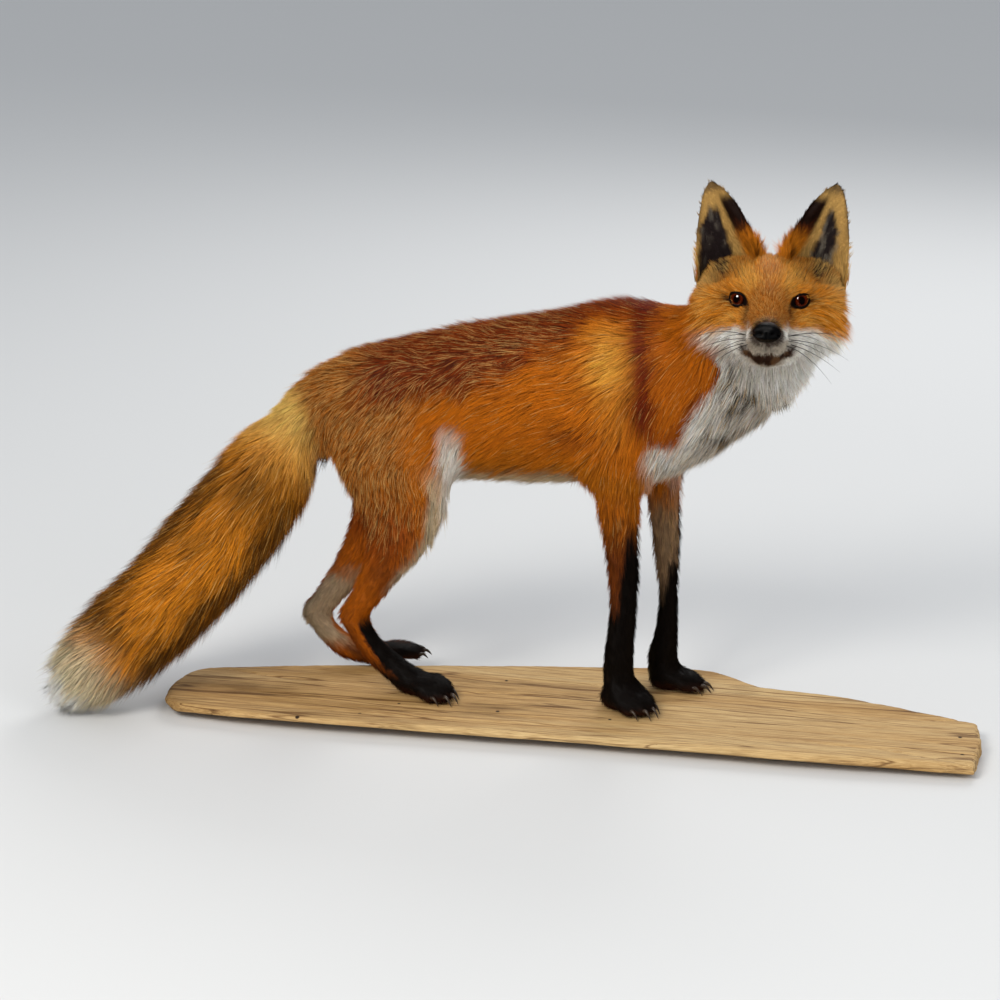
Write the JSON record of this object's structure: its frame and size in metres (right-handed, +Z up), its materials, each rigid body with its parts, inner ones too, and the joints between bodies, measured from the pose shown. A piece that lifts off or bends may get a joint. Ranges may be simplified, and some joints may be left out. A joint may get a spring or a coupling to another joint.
{
  "type": "taxidermy red fox on a board",
  "caption": "Life-size mounted red fox in a short coat, standing on a weathered driftwood board with its head turned to look at the viewer.",
  "frame": {"origin": "on the underside of the board, in the fox's plane of symmetry below the middle of its body", "axes": "+X along the body towards the chest, which is the board's length; +Z up; -Y is the fox's right side, the one seen from the front"},
  "size_m": [0.8833, 0.2335, 0.5176],
  "materials": {
    "coat": "short dense fox fur, orange with black legs and pale throat",
    "nose": "damp black nose leather",
    "eye": "polished glass eye, dark amber",
    "claw": "horn, satin",
    "board": "bare weathered driftwood"
  },
  "bodies": {
    "root": {"trunk": "coat", "neck": "coat", "head": "coat", "ear_left": "coat", "ear_right": "coat", "tail_root": "coat", "tail_brush": "coat", "tail_tip": "coat", "foreleg_left": "coat", "foreleg_right": "coat", "hindleg_left": "coat", "hindleg_right": "coat", "forepaw_left": "coat", "forepaw_right": "coat", "hindpaw_left": "coat", "hindpaw_right": "coat", "nose": "nose", "eye_left": "eye", "eye_right": "eye", "base_board": "board"}
  },
  "joints": []
}
